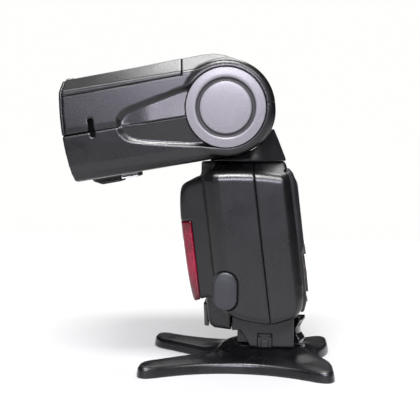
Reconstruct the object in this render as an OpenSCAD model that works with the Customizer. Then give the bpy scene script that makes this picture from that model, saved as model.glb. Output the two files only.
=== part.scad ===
// Speedlight flash on its mini stand. Millimetres. +Z up, the flash faces -X, +X is its back,
// -Y is its left side. The ground is z = 0 and the foot's centre line is x = 0, y = 0.

/* [Pose] */
// Angle the head hangs below level
head_dip = 9.5; // [0:0.5:12]
// Angle the body leans forward
body_lean = 7; // [0:0.5:12]

/* [Head] */
// Half width of the head shell
head_half_w = 38; // [36:0.5:42]
// Length from the tilt axis to the front corners
head_front = 75.5; // [70:0.5:82]
// Radius of the rounded rear of the head
hub_shell_r = 22.8; // [21:0.1:24]
// Wall of the head shells
head_wall = 2; // [1.4:0.1:3]
// Radius of the round caps over the tilt axis
hub_cap_r = 18.6; // [16:0.1:20]

/* [Neck] */
// Forward position of the tilt axis
pivot_x = -21.3; // [-24:0.1:-18]
// Height of the tilt axis
pivot_z = 127.2; // [120:0.1:132]
// Position of the swivel axis
swivel_x = -14.7; // [-18:0.1:-10]
// Radius of the turret
turret_r = 22.3; // [20:0.1:24]

/* [Body] */
// Wall of the body shells
body_wall = 2; // [1.4:0.1:3]
// Front and rear shell meet at this plane
seam_x = 0.7; // [-4:0.1:6]
// Radius of an AA cell
cell_r = 7.2; // [6.9:0.05:7.25]
// Length of an AA cell
cell_len = 50.5; // [49:0.1:50.5]

/* [Foot] */
// Width of the hot shoe plate
shoe_w = 18.6; // [18.4:0.05:18.7]
// Length of the hot shoe plate
shoe_len = 18; // [16:0.5:20]
// Half width of the foot housing
foot_half_w = 17; // [15:0.5:19]

/* [Stand] */
// Height of the stand's rim
rim_h = 6; // [4:0.5:8]
// Radius of the tripod thread in the stand
bush_r = 3.175; // [2.5:0.005:4.8]

/* [Hidden] */
$fn = 48;
lean_z = 26;
pin_spots = [[0, 0], [-3.2, 3.8], [-3.2, -3.8], [3.4, 3.8], [3.4, -3.8]];
side_pts = [[-34.8, 32.6], [-30, 32.2], [-23, 30.4], [-14, 27.6], [-6.7, 26], [7.4, 26.4],
            [12.6, 29], [18, 40], [18, 90], [8, 95.9], [3.5, 98.2], [-26, 98.2], [-29, 97.2],
            [-36, 93.4], [-40.8, 91.8], [-43.3, 89], [-44.4, 83], [-44.6, 76], [-44, 67],
            [-42.5, 56.5], [-40.3, 46], [-37.5, 36.5]];
plan_pts = [[-40, -20], [-37.2, -25.5], [-33.5, -28.6], [-25.2, -32.4], [-19.2, -36.6],
            [-16.5, -37.2], [11.5, -37.4], [15, -34], [15, 34], [11.5, 37.4], [-16.5, 37.2],
            [-19.2, 36.6], [-25.2, 32.4], [-33.5, 28.6], [-37.2, 25.5], [-40, 20]];
front_pts = [[-30, 24], [30, 24], [37.6, 38], [37.6, 93.5], [33, 98.3], [-33, 98.3],
             [-37.6, 93.5], [-37.6, 38]];
cross_pts = [[-35, -24.2], [35, -24.2], [38, -20.5], [38, 17], [37.5, 19.7], [29, 24.9],
             [25, 27.6], [-25, 27.6], [-29, 24.9], [-37.5, 19.7], [-38, 17], [-38, -20.5]];
lcd_pts = [[15, 2.5], [17.4, 4.2], [19.4, 8], [19.4, 31], [20.8, 34], [20.8, 63], [19.6, 67],
           [17.6, 69.4], [15, 70.2]];

function edge_n(a, b) = let (v = b - a) [-v[1], v[0]] / norm(v);
function inset(p, d) = [for (i = [0:len(p) - 1])
    let (a = p[(i + len(p) - 1) % len(p)], b = p[i], c = p[(i + 1) % len(p)],
         n1 = edge_n(a, b), n2 = edge_n(b, c))
    b + (n1 + n2) * (d / (1 + n1 * n2))];

module lean() { translate([0, 0, lean_z]) rotate([0, -body_lean, 0]) children(); }
module head() { translate([pivot_x, 0, pivot_z]) rotate([0, -head_dip, 0]) children(); }
module box(a, b) { translate(a) cube(b - a); }
module slab(w) { rotate([90, 0, 0]) translate([0, 0, -w]) linear_extrude(2 * w) children(); }
module slab_y(y0, y1) { translate([0, y1, 0]) rotate([90, 0, 0]) linear_extrude(y1 - y0) children(); }
module along_x(x0, x1) {
    translate([x0, 0, 0]) rotate([90, 0, 90]) linear_extrude(x1 - x0) children();
}
module yrod(r, y0, y1) { translate([0, y1, 0]) rotate([90, 0, 0]) cylinder(r = r, h = y1 - y0); }
module xrod(r, x0, x1) { translate([x0, 0, 0]) rotate([0, 90, 0]) cylinder(r = r, h = x1 - x0); }
module zrod(r, z0, z1) { translate([0, 0, z0]) cylinder(r = r, h = z1 - z0); }

// ---------- stand ----------
module stand_plan(d) {
    difference() {
        polygon(inset([[-62.5, -35], [-55, -42], [24, -42], [31, -36], [31, 36], [24, 42],
                       [-55, 42], [-62.5, 35]], d));
        for (s = [-1, 1]) translate([-15.75, s * 92]) circle(r = 64 + d);
        translate([-33.5, 0]) circle(r = 4.5 + d);
        polygon([[-33.5, -4.5 - d], [-33.5, 4.5 + d], [-80, 40 + d], [-80, -40 - d]]);
        translate([25, 0]) circle(r = 6.5 + d);
        polygon([[25, 6.5 + d], [25, -6.5 - d], [45, -40 - d], [45, 40 + d]]);
    }
}
module stand_base() {
    color([0.03, 0.03, 0.035]) difference() {
        union() {
            difference() {
                linear_extrude(rim_h) stand_plan(0);
                translate([0, 0, -1]) linear_extrude(rim_h - 1) stand_plan(2.2);
            }
            translate([0, 0, rim_h - 2]) linear_extrude(4) union() {
                translate([-5.5, 0]) circle(r = 16.8);
                translate([1, 0]) circle(r = 16.8);
                translate([-5.5, -16.8]) square([6.5, 33.6]);
            }
            for (s = [-1, 1]) translate([-12, s > 0 ? 9.4 : -13, 8]) cube([27, 3.6, 2.7]);
            for (s = [-1, 1]) translate([-12, s > 0 ? 6.7 : -9.5, 10.15]) cube([27, 2.8, 0.55]);
            translate([-13.5, -13, 7]) cube([4.2, 26, 3.7]);
            zrod(7, 0, rim_h);
        }
        translate([0, 0, -1]) zrod(5, 0, 7.2);
        box([-8.4, -5.2, 6.9], [30, 5.2, 8]);
    }
}
module stand_bush() {
    color([0.75, 0.62, 0.35]) difference() { zrod(5, 0, 6.2); translate([0, 0, -1]) zrod(bush_r, 0, 9); }
}

// ---------- foot ----------
module lever_space() {
    translate([0, 0, 13]) linear_extrude(2.4) polygon([[0, 0], [24, -22.4], [24, 22.4]]);
    zrod(8.5, 13, 15.4);
    difference() {
        box([5, -12.4, 9], [40, 12.4, 24.9]);
        zrod(12.1, 8, 26);
    }
}
module foot_housing() {
    color([0.05, 0.05, 0.055]) difference() {
        union() {
            slab(foot_half_w) polygon([[-9.4, 11], [11.9, 11], [11.9, 28.65], [7.4, 26.4],
                [-6.7, 26], [-14, 27.6], [-18.6, 29.03], [-18.6, 19], [-14.4, 19.3],
                [-13.4, 17.9]]);
            box([-16, -8.5, 11.2], [-9, 8.5, 18.5]);
        }
        lever_space();
        for (p = pin_spots) translate([p[0], p[1], 0]) zrod(1.6, 10, 13.2);
        translate([-6.8, 0, 0]) zrod(1.7, 10, 13.2);
        for (s = [-1, 1]) translate([-5.5, s > 0 ? 16 : -18, 11.1]) cube([6.6, 2, 6.3]);
        slab(8) polygon([[-7, 17], [6, 17], [6, 24], [-10, 24], [-12, 20]]);
    }
}
module foot_clip() {
    color([0.12, 0.12, 0.13]) for (s = [-1, 1]) difference() {
        translate([-5.5, s > 0 ? 16 : -17.2, 11.1]) cube([6.6, 1.2, 6.3]);
        translate([-4, s > 0 ? 16.5 : -18.5, 14]) cube([3.6, 2, 2]);
    }
}
module hotshoe_plate() {
    color([0.7, 0.7, 0.72]) difference() {
        union() {
            box([-shoe_len / 2, -shoe_w / 2, 8.05], [shoe_len / 2, shoe_w / 2, 10]);
            box([-8.5, -6.3, 10], [8.5, 6.3, 11]);
        }
        for (p = pin_spots) translate([p[0], p[1], 0]) zrod(p[0] == 0 ? 1.16 : 0.86, 7, 12);
        translate([-6.8, 0, 0]) zrod(1.26, 7, 12);
        for (x = [-6.6, 6.6]) for (y = [-5, 5]) translate([x, y, 0]) zrod(1.1, 7, 12);
    }
}
module hotshoe_screws() {
    color([0.8, 0.8, 0.82]) for (x = [-6.6, 6.6]) for (y = [-5, 5])
        translate([x, y, 0]) zrod(1.1, 8.3, 11);
}
module contact_pins() {
    color([0.85, 0.7, 0.35]) for (p = pin_spots)
        translate([p[0], p[1], 0]) zrod(p[0] == 0 ? 1.1 : 0.8, 7.3, 12.3);
}
module lock_lever() {
    color([0.02, 0.02, 0.02]) {
        zrod(8.2, 13.2, 15.2);
        rotate([0, 0, -34]) rotate_extrude(angle = 36) polygon([[8.1, 13.2], [12.4, 13.2],
            [12.4, 11.4], [17.9, 11.4], [18, 13.4], [15.6, 16.2], [15.4, 19.4], [18.1, 23.4],
            [17.6, 24.5], [12.9, 24.5], [13.4, 20], [13.3, 16.4], [12.6, 15.2], [8.1, 15.2]]);
    }
}
module lock_pin() { color([0.8, 0.8, 0.82]) translate([-6.8, 0, 0]) zrod(1.2, 8.35, 12.9); }

// ---------- body ----------
module body_block(d) {
    intersection() {
        slab(60) polygon(inset(side_pts, d));
        lean() translate([0, 0, -40]) linear_extrude(160) polygon(inset(plan_pts, d));
        along_x(-70, 50) polygon(inset(front_pts, d));
    }
}
module front_half() { lean() box([-80, -60, -30], [seam_x, 60, 110]); }
module rear_half() { lean() box([seam_x, -60, -30], [60, 60, 110]); }
module window_zone() { lean() box([-60, -60, 12.9], [-31.4, 60, 51.9]); }
module terminal_oval(d) {
    translate([-20.7, 38]) circle(r = 5.6 + d);
    translate([-20.7, 45.2]) circle(r = 5.6 + d);
    translate([-26.3 - d, 38]) square([11.2 + 2 * d, 7.2]);
}
module body_skin() {
    difference() {
        union() {
            difference() { body_block(0); body_block(body_wall); }
            translate([swivel_x, 0, 0]) zrod(20.7, 92, 101.4);
        }
        translate([swivel_x, 0, 0]) zrod(16.06, 80, 110);
        slab_y(-45, -26.5) terminal_oval(0.3);
        lean() box([-20.2, 33.1, -10], [12.5, 60, 46.2]);
        lean() translate([10.2, 35.3, 0]) zrod(1.05, 40, 56);
    }
}
module body_front_shell() {
    color([0.06, 0.06, 0.065]) difference() {
        intersection() { body_skin(); front_half(); }
        window_zone();
    }
}
module body_rear_shell() {
    color([0.06, 0.06, 0.065]) difference() {
        intersection() { body_skin(); rear_half(); }
        lean() for (y = [-31, 31]) translate([0, y, 62]) xrod(1.5, 12, 20);
        lean() for (y = [-31, 31]) translate([0, y, 12]) xrod(1.5, 12, 20);
    }
}
module body_screws() {
    color([0.5, 0.5, 0.52]) lean() for (y = [-31, 31]) for (z = [12, 62])
        translate([0, y, z]) xrod(1.5, 13, 14.6);
}
module lower_front_block() {
    color([0.06, 0.06, 0.065]) slab(foot_half_w) polygon([[-29.1, 22.8], [-27.6, 20.4],
        [-25.6, 19.3], [-18.6, 19], [-18.6, 29.03], [-23, 30.4], [-30, 32.2], [-30.3, 32.22],
        [-30.2, 28.9]]);
}
module sensor_window() {
    color([0.02, 0.02, 0.02]) slab(11) polygon([[-29.1, 22.8], [-30.2, 28.9], [-30.25, 30.6],
        [-32.7, 30.2], [-32.2, 23]]);
}
module af_window() {
    color([0.5, 0.02, 0.08, 0.6]) intersection() {
        difference() { body_block(0); body_block(body_wall); }
        window_zone();
    }
}
module af_lamp_module() {
    color([0.1, 0.1, 0.1]) lean() {
        box([-33, -19, 19], [-26, 19, 47]);
        for (y = [-9, 9]) translate([0, y, 36]) xrod(6, -35.5, -33);
        translate([0, 0, 25]) xrod(3, -34.4, -33);
    }
}
module terminal_cover() {
    color([0.09, 0.1, 0.12]) {
        slab_y(-38.6, -34.2) terminal_oval(-0.15);
        translate([-15.25, -37.9, 0]) zrod(0.6, 37, 46.2);
    }
}
module terminal_sockets() {
    color([0.3, 0.3, 0.3]) difference() {
        slab_y(-33.4, -27) terminal_oval(0.25);
        for (z = [37.5, 46]) translate([-20.7, 0, z]) difference() {
            yrod(3.2, -34, -29);
            yrod(1.2, -33.4, -28);
        }
    }
}
module battery_door() {
    color([0.06, 0.06, 0.065]) difference() {
        union() {
            intersection() { body_block(0); lean() box([-20, 33.3, -10], [10.2, 60, 46]); }
            intersection() { body_block(0); lean() translate([10.2, 35.3, 0]) zrod(2.0, 0, 46); }
        }
        lean() translate([10.2, 35.3, 0]) zrod(0.95, 7.9, 50);
    }
}
module door_contacts() {
    color([0.8, 0.75, 0.6]) lean() {
        box([-17.5, 32.7, 15.2], [8, 33.3, 38]);
        for (x = [-12.9, 2.3]) for (z = [17.9, 33.2]) translate([x, 0, z]) yrod(2.4, 31.9, 32.7);
    }
}
module door_hinge_pin() { color([0.7, 0.7, 0.72]) lean() translate([10.2, 35.3, 0]) zrod(0.9, 8, 52); }
module battery_tray() {
    color([0.13, 0.13, 0.13]) lean() difference() {
        box([-21.4, -24, 9], [10.4, 31.6, 42.1]);
        box([-20.3, -22.8, 10.1], [9.6, 40, 41]);
    }
}
module aa_cells() {
    color([0.75, 0.75, 0.2]) lean() for (x = [-12.9, 2.3]) for (z = [17.9, 33.2])
        translate([x, 0, z]) {
            yrod(cell_r, -19, -19 + cell_len - 1);
            yrod(2.7, -19 + cell_len - 1, -19 + cell_len);
        }
}
module cell_springs() {
    color([0.8, 0.8, 0.8]) lean() for (x = [-12.9, 2.3]) for (z = [17.9, 33.2])
        translate([x, 0, z]) difference() { yrod(4, -22.8, -19); yrod(2.6, -24, -18); }
}
module main_capacitor() { color([0.15, 0.15, 0.3]) lean() translate([-5, 0, 53.2]) yrod(10.5, -28, 26); }
module main_board() { color([0.05, 0.3, 0.12]) lean() box([10.9, -29, 12], [12.3, 29, 58]); }

// ---------- rear panel ----------
module lcd_housing() {
    color([0.05, 0.05, 0.055]) lean() difference() {
        intersection() {
            slab(40) polygon(lcd_pts);
            translate([0, 0, -20]) linear_extrude(120)
                polygon([[15, -29], [18.6, -28], [20.8, -25], [20.8, 25], [18.6, 28], [15, 29]]);
        }
        box([15.8, -23, 35.5], [30, 23, 64]);
        for (y = [-16.5, -5.5, 5.5, 16.5]) box([17.2, y - 4, 29.2 - 0.1], [30, y + 4, 33.1]);
        translate([0, 0, 17.5]) xrod(9.8, 17.4, 30);
        for (s = [-1, 1]) translate([0, s * 19, 22.5]) xrod(3.1, 17.4, 30);
        for (s = [-1, 1]) translate([0, s * 19, 12]) xrod(2.7, 17.4, 30);
        box([17.4, -14.2, 4.6], [30, 14.2, 7.4]);
    }
}
module lcd_module() { color([0.2, 0.25, 0.2]) lean() box([15.8, -22, 36.5], [19.5, 22, 63]); }
module lcd_window() { color([0.2, 0.22, 0.25, 0.5]) lean() box([19.7, -23, 35.5], [20.7, 23, 64]); }
module function_key(i) {
    color([0.15, 0.15, 0.16]) lean() translate([0, i * 11 - 27.5, 0])
        box([18, -3.8, 29.4], [21.2, 3.8, 32.8]);
}
module function_button_1() { function_key(1); }
module function_button_2() { function_key(2); }
module function_button_3() { function_key(3); }
module function_button_4() { function_key(4); }
module select_dial() {
    color([0.1, 0.1, 0.1]) lean() translate([0, 0, 17.5]) difference() {
        xrod(9.5, 17.6, 20.4);
        xrod(4.2, 16, 22);
    }
}
module set_button() { color([0.2, 0.2, 0.2]) lean() translate([0, 0, 17.5]) xrod(4.14, 18.2, 20.6); }
module mode_button() { color([0.15, 0.15, 0.16]) lean() translate([0, 19, 22.5]) xrod(3.02, 18.2, 20.1); }
module test_button() { color([0.8, 0.3, 0.1]) lean() translate([0, -19, 22.5]) xrod(3.02, 18.2, 20.1); }
module wireless_button() { color([0.15, 0.15, 0.16]) lean() translate([0, 19, 12]) xrod(2.62, 18.2, 20.1); }
module power_switch() {
    color([0.1, 0.1, 0.1]) lean() {
        box([17.5, -13.8, 4.8], [18.1, -3.8, 7.2]);
        box([18.1, -11.6, 4.8], [19.4, -6, 7.2]);
    }
}

// ---------- neck ----------
module neck_saddle() {
    color([0.06, 0.06, 0.065]) difference() {
        union() {
            intersection() {
                translate([swivel_x, 0, 0]) zrod(turret_r, 101.8, 118.2);
                slab(60) polygon([[-50, 99], [20, 99], [7.6, 101.3], [5, 107], [2.9, 112.5],
                    [0.6, 118], [-50, 118]]);
            }
            translate([swivel_x, 0, 0]) zrod(16, 89.2, 101.8);
        }
        translate([pivot_x, 0, pivot_z]) yrod(23.4, -40, 40);
        translate([pivot_x, 0, pivot_z]) rotate([0, -head_dip - 1, 0])
            box([-60, -40, -23.15], [1, 40, 20]);
        translate([swivel_x, 0, 0]) zrod(10, 80, 108);
    }
}
module swivel_ring() {
    color([0.7, 0.7, 0.72]) translate([swivel_x, 0, 0]) difference() {
        zrod(18.5, 88.9, 91.6);
        zrod(16, 89.2, 95);
        zrod(10, 80, 90);
    }
}
module tilt_drum() {
    color([0.05, 0.05, 0.055]) difference() {
        union() {
            translate([pivot_x, 0, pivot_z]) yrod(20.4, -16.5, 16.5);
            difference() {
                box([pivot_x - 6.5, -13.6, 102], [pivot_x + 6.5, 13.6, 115]);
                difference() {
                    translate([pivot_x, 0, pivot_z]) yrod(40, -40, 40);
                    translate([pivot_x, 0, pivot_z]) yrod(23.4, -41, 41);
                }
            }
        }
        translate([pivot_x, 0, pivot_z]) yrod(4, -30, 30);
    }
}
module tilt_axle() { color([0.75, 0.75, 0.77]) translate([pivot_x, 0, pivot_z]) yrod(4, -25, 25); }

// ---------- head ----------
module head_profile() {
    circle(r = hub_shell_r);
    polygon([[-head_front, -23.7], [-3, -22.6], [0, 0], [6.9, 21.7], [-7, 27], [-head_front, 24.6]]);
}
module head_inner_profile() {
    circle(r = hub_shell_r - head_wall);
    polygon([[-85, -21.8], [-3, -20.58], [0, 0], [6.2, 19.85], [-7.3, 24.95], [-85, 22.2]]);
}
module head_skin() {
    difference() {
        intersection() {
            slab(60) head_profile();
            along_x(-100, 40) polygon(cross_pts);
        }
        intersection() {
            slab(60) head_inner_profile();
            along_x(-100, 40) polygon(inset(cross_pts, head_wall));
        }
        for (s = [-1, 1]) {
            slab_y(s > 0 ? 37 : -50, s > 0 ? 50 : -37) {
                polygon([[-50.6, -4], [-47.4, -8.6], [-35.4, -13.3], [-7.4, -18.1], [0, 0],
                         [-12.1, 14.2], [-36.3, 9.8], [-48.5, 5.5], [-50.8, 1.3]]);
                circle(r = 19.4);
            }
            yrod(18.7, s > 0 ? 30 : -50, s > 0 ? 50 : -30);
            box([-64.2, s > 0 ? 36.8 : -50, -1.2], [-61.8, s > 0 ? 50 : -36.8, 6]);
        }
        intersection() {
            slab(14.4) circle(r = 33);
            slab(20) polygon([[0, 0], [-30, -53.2], [70, -53.2], [70, 28.3]]);
        }
    }
}
module head_lower_shell() {
    color([0.06, 0.06, 0.065]) head() {
        intersection() {
            head_skin();
            box([-100, -60, -40], [40, 60, -1.2]);
        }
        slab(8) polygon([[-74, -23], [-72.6, -26], [-60, -26.4], [-60, -23]]);
    }
}
module cover_zone() { box([-100, -60, 17.4], [-17.7, 60, 40]); }
module head_upper_shell() {
    color([0.06, 0.06, 0.065]) head() difference() {
        intersection() { head_skin(); box([-100, -60, -1.2], [40, 60, 40]); }
        cover_zone();
    }
}
module head_top_cover() { color([0.06, 0.06, 0.065]) head() intersection() { head_skin(); cover_zone(); } }
module head_front_bezel() {
    color([0.04, 0.04, 0.045]) head() difference() {
        intersection() {
            slab(60) polygon([[-75.5, -21.65], [-72, -21.6], [-72, 22.4], [-75.5, 22.3]]);
            along_x(-100, 0) polygon(inset(cross_pts, head_wall));
        }
        box([-80, -33.5, -19.5], [-70, 33.5, 16.6]);
        box([-80, -28.2, 17.9], [-70, 28.2, 21.4]);
    }
}
module fresnel_lens() {
    color([0.9, 0.92, 0.95, 0.5]) head() slab(33.5)
        polygon([[-73.6, -19.5], [-73.6, 16.6], [-76.4, 16.6], [-77.6, 6], [-77.9, -2], [-77.6, -9],
                 [-76.4, -19.5]]);
}
module head_chassis() {
    color([0.6, 0.6, 0.62]) head() difference() {
        union() {
            box([-30.5, -34, -19.5], [-29, 34, 14]);
            for (s = [-1, 1]) translate([0, s > 0 ? 18 : -20, 0]) {
                box([-29, 0, -8], [0, 2, 8]);
                yrod(8, 0, 2);
            }
        }
        yrod(4.06, -30, 30);
        translate([0, 24.5, -16]) xrod(2.2, -40, -20);
    }
}
module hub_disc(s) {
    difference() {
        yrod(hub_cap_r, s > 0 ? 35.6 : -38.9, s > 0 ? 38.9 : -35.6);
        difference() {
            yrod(14.1, s > 0 ? 38.3 : -50, s > 0 ? 50 : -38.3);
            yrod(11.8, -60, 60);
        }
        if (s > 0) yrod(11.8, 30, 50);
    }
}
module hub_cap_left() { color([0.14, 0.14, 0.14]) head() hub_disc(-1); }
module hub_cap_right() { color([0.14, 0.14, 0.14]) head() hub_disc(1); }
module tilt_release_button() {
    color([0.14, 0.14, 0.14]) head() { yrod(11.72, 36.6, 38.8); yrod(3, 30, 36.6); }
}
module release_spring() {
    color([0.8, 0.8, 0.8]) head() difference() { yrod(4.6, 25.2, 34.4); yrod(3.6, 20, 40); }
}
module guide_rods() {
    color([0.8, 0.8, 0.82]) head() for (s = [-1, 1]) translate([0, s * 30, -16]) xrod(1.2, -71.9, -30.5);
}
module zoom_motor() { color([0.5, 0.5, 0.5]) head() translate([0, 24.5, -16]) xrod(4.4, -28.9, -15); }
module lead_screw() { color([0.8, 0.8, 0.82]) head() translate([0, 24.5, -16]) xrod(1.8, -71.6, -29); }
module zoom_carriage() {
    color([0.85, 0.87, 0.9]) head() difference() {
        union() {
            slab(26) polygon([[-71, -14], [-55, -6], [-52, -6], [-52, 6], [-55, 6], [-71, 14]]);
            box([-66, -33, -19], [-58, 33, -9]);
        }
        slab(25) polygon([[-72, -13.2], [-54.8, -4.8], [-53, -4.8], [-53, 4.8], [-54.8, 4.8],
                          [-72, 13.2]]);
        for (s = [-1, 1]) translate([0, s * 30, -16]) xrod(1.26, -80, -20);
        translate([0, 24.5, -16]) xrod(1.86, -80, -20);
    }
}
module flash_tube() { color([0.95, 0.95, 0.95, 0.4]) head() translate([-57.2, 0, 0]) yrod(2, -25, 25); }
module bounce_card() {
    color([0.92, 0.92, 0.92]) head() {
        box([-75.8, -27.6, 18.3], [-36, 27.6, 19.1]);
        box([-77, 10, 16.9], [-75.8, 24, 19.1]);
    }
}
module wide_panel() {
    color([0.9, 0.92, 0.95, 0.6]) head() {
        box([-76.8, -27.6, 20], [-36, 27.6, 21]);
        box([-78, -7, 20], [-76.8, 7, 25.6]);
    }
}

stand_base();
stand_bush();
foot_housing();
foot_clip();
hotshoe_plate();
hotshoe_screws();
contact_pins();
lock_lever();
lock_pin();
body_front_shell();
body_rear_shell();
lower_front_block();
sensor_window();
af_window();
af_lamp_module();
terminal_cover();
terminal_sockets();
battery_door();
door_contacts();
door_hinge_pin();
battery_tray();
aa_cells();
cell_springs();
main_capacitor();
main_board();
lcd_housing();
lcd_window();
lcd_module();
function_button_1();
function_button_2();
function_button_3();
function_button_4();
select_dial();
set_button();
mode_button();
wireless_button();
test_button();
power_switch();
body_screws();
neck_saddle();
swivel_ring();
tilt_drum();
tilt_axle();
head_upper_shell();
head_lower_shell();
head_top_cover();
head_front_bezel();
fresnel_lens();
head_chassis();
hub_cap_left();
hub_cap_right();
tilt_release_button();
release_spring();
guide_rods();
zoom_motor();
lead_screw();
zoom_carriage();
flash_tube();
bounce_card();
wide_panel();
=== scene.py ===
import math

import bmesh
import bpy
import numpy as np
import openvdb
from mathutils import Matrix, Vector


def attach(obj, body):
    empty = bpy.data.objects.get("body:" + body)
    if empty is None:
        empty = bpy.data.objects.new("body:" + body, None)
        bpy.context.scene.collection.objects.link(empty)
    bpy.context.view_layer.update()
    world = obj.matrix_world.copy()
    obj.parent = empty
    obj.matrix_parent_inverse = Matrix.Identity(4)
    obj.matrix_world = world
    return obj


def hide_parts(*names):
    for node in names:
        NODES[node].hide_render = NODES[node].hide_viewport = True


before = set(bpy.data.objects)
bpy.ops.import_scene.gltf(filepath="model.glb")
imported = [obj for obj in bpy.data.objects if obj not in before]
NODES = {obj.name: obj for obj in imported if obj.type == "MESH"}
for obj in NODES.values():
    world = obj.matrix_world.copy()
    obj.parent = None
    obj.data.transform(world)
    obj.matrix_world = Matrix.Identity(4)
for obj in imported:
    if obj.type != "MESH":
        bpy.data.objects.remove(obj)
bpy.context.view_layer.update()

# Main dimensions, millimetres, as in the CAD.
MM = 0.001
HEAD_DIP = math.radians(9.5)
BODY_LEAN = math.radians(7)
PIVOT_X, PIVOT_Z = -21.3, 127.2     # tilt axle
SWIVEL_X = -14.7                    # swivel axis of the neck
LEAN_Z = 26.0                       # height about which the body leans
STAND_X = -15.75                    # middle of the stand
COVER_X, COVER_Z = -20.7, 41.6      # middle of the oval terminal cover

# In the head's own frame, with the tilt axle at its origin.
HUB_R = 22.8
CAP_R = 18.6
HEAD_HALF = 37.9                    # half width of the head
HEAD_SEAM = -1.2                    # height of the line between upper and lower shell
COVER_END = -17.7                   # back edge of the top cover
LENS_Z = -1.5
OPEN_FRONT = -90.0                  # ahead of every grid, so the blank has no front wall
STEM_FROM, STEM_TO = math.radians(-120.5), math.radians(22.0)   # sweep of the neck in the head

# In the body's leaning frame.
SEAM_X = 0.7                        # between front and rear shell
DISPLAY_Z, KEYS_Z, DIAL_Z = 49.75, 31.1, 17.5
SMALL_KEY_Y, UPPER_KEY_Z, LOWER_KEY_Z = 19, 22.5, 12    # round keys beside the dial
PIN_X, PIN_Y = 10.2, 35.3           # hinge pin of the battery door
SCREW_Y, SCREW_Z = 31, (12, 62)
WINDOW_Z = (12.75, 52.05)           # opening for the red window

HEAD = Matrix.Translation((PIVOT_X, 0, PIVOT_Z)) @ Matrix.Rotation(-HEAD_DIP, 4, "Y")
LEAN = Matrix.Translation((0, 0, LEAN_Z)) @ Matrix.Rotation(-BODY_LEAN, 4, "Y")
WORLD = Matrix.Identity(4)


# ---------------------------------------------------------------- distance fields
class Grid:
    """A box of sample points. x, y and z broadcast against each other."""

    def __init__(self, lo, hi, step):
        self.lo, self.step = np.array(lo, float), step
        count = [int(math.ceil((hi[i] - lo[i]) / step)) + 1 for i in range(3)]
        axes = [np.float32(lo[i] + step * np.arange(count[i])) for i in range(3)]
        self.x = axes[0][:, None, None]
        self.y = axes[1][None, :, None]
        self.z = axes[2][None, None, :]


def ring(points):
    return list(zip(points, points[1:] + points[:1]))


def inset(points, d):
    """A polygon with every side moved inwards by d."""
    out = []
    n = len(points)
    for i in range(n):
        a, b, c = (np.array(points[(i + k) % n], float) for k in (-1, 0, 1))
        n1 = np.array([-(b - a)[1], (b - a)[0]]) / np.linalg.norm(b - a)
        n2 = np.array([-(c - b)[1], (c - b)[0]]) / np.linalg.norm(c - b)
        out.append(tuple(b + (n1 + n2) * d / (1 + n1 @ n2)))
    return out


def poly(u, v, points, radius=0.0):
    """Signed distance to a polygon listed anticlockwise, its corners rounded by radius."""
    if radius:
        points = inset(points, radius)
    best = None
    sign = 1.0
    for (ax, ay), (bx, by) in ring(points):
        ex, ey = bx - ax, by - ay
        wx, wy = u - ax, v - ay
        t = np.clip((wx * ex + wy * ey) / (ex * ex + ey * ey), 0, 1)
        dx, dy = wx - ex * t, wy - ey * t
        d2 = dx * dx + dy * dy
        best = d2 if best is None else np.minimum(best, d2)
        c1, c2, c3 = v >= ay, v < by, ex * wy > ey * wx
        sign = np.where((c1 & c2 & c3) | (~c1 & ~c2 & ~c3), -sign, sign)
    return np.float32(sign) * np.sqrt(best, dtype=np.float32) - np.float32(radius)


def curve(points, steps=6):
    """A smooth open curve through the points."""
    p = [np.array(q, float) for q in points]
    p = [2 * p[0] - p[1]] + p + [2 * p[-1] - p[-2]]
    out = []
    for i in range(1, len(p) - 2):
        for k in range(steps):
            t = k / steps
            a, b, c, d = p[i - 1], p[i], p[i + 1], p[i + 2]
            out.append(tuple(0.5 * (2 * b + (c - a) * t + (2 * a - 5 * b + 4 * c - d) * t * t
                                    + (3 * b - a - 3 * c + d) * t ** 3)))
    out.append(tuple(p[-2]))
    return out


def both(*fields):
    out = fields[0]
    for f in fields[1:]:
        out = np.maximum(out, f)
    return out


def either(*fields):
    out = fields[0]
    for f in fields[1:]:
        out = np.minimum(out, f)
    return out


def round_both(a, b, r):
    """Intersection with an outside edge rounded by r."""
    u, v = np.maximum(a + r, 0), np.maximum(b + r, 0)
    return np.minimum(np.maximum(a, b), -r) + np.sqrt(u * u + v * v)


def soft_either(a, b, k):
    """Union, blended over a width k."""
    h = np.clip(0.5 + 0.5 * (b - a) / k, 0, 1)
    return b + (a - b) * h - k * h * (1 - h)


def soft_both(a, b, k):
    return -soft_either(-a, -b, k)


def ease(t):
    t = np.clip(t, 0, 1)
    return t * t * (3 - 2 * t)


def disc(u, v, cu, cv, r):
    """Distance outside a circle. With r = 0 it is the distance from the centre."""
    return np.sqrt((u - cu) ** 2 + (v - cv) ** 2) - r


def rect(u, v, cu, cv, hu, hv, r=0.0):
    du, dv = np.abs(u - cu) - hu + r, np.abs(v - cv) - hv + r
    outside = np.sqrt(np.maximum(du, 0) ** 2 + np.maximum(dv, 0) ** 2)
    return outside + np.minimum(np.maximum(du, dv), 0) - r


def slab(w, lo, hi):
    return np.maximum(lo - w, w - hi)


def brick(g, lo, hi, r=0.0):
    c = [(lo[i] + hi[i]) / 2 for i in range(3)]
    h = [(hi[i] - lo[i]) / 2 - r for i in range(3)]
    q = [np.abs(w - c[i]) - h[i] for i, w in enumerate((g.x, g.y, g.z))]
    out = np.sqrt(sum(np.maximum(k, 0) ** 2 for k in q))
    return out + np.minimum(both(*q), 0) - r


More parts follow.
